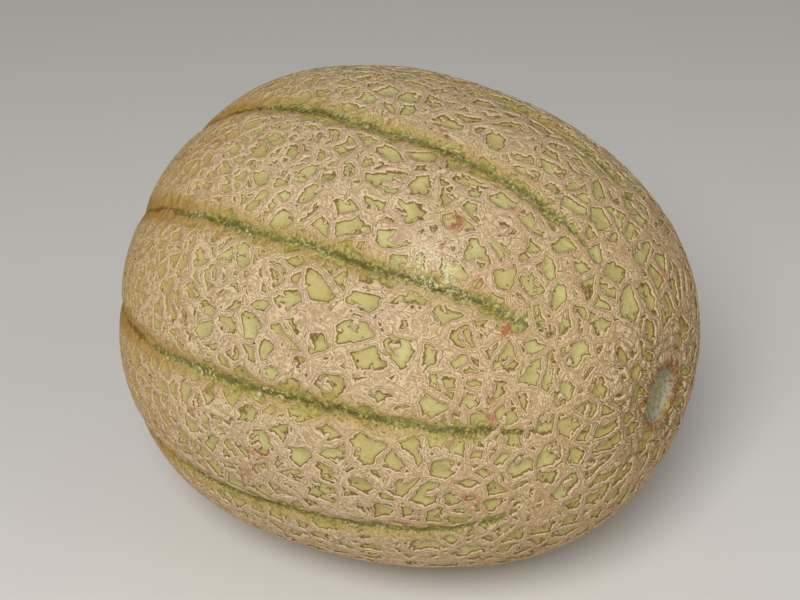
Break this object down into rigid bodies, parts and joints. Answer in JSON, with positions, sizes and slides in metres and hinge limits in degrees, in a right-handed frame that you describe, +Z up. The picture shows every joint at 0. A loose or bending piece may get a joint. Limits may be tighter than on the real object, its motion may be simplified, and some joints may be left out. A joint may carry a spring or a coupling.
{
  "type": "cantaloupe melon",
  "caption": "Whole netted cantaloupe melon, a rounded oval fruit lying on its side with sunken sutures and a dished stem end.",
  "frame": {"origin": "on the resting surface, under the middle of the fruit's bounding box", "axes": "+X along the fruit's length from the blossom end to the stem end, +Z up, +Y to the rear"},
  "size_m": [0.1588, 0.1448, 0.1344],
  "materials": {
    "netted_rind": "rough, dry, pinkish-tan cork net raised over smooth, waxy yellow-green skin; darker green, slightly sunken sutures; grey-green stem scar with a rust-brown rim"
  },
  "bodies": {
    "root": {"melon": "netted_rind"}
  },
  "joints": []
}
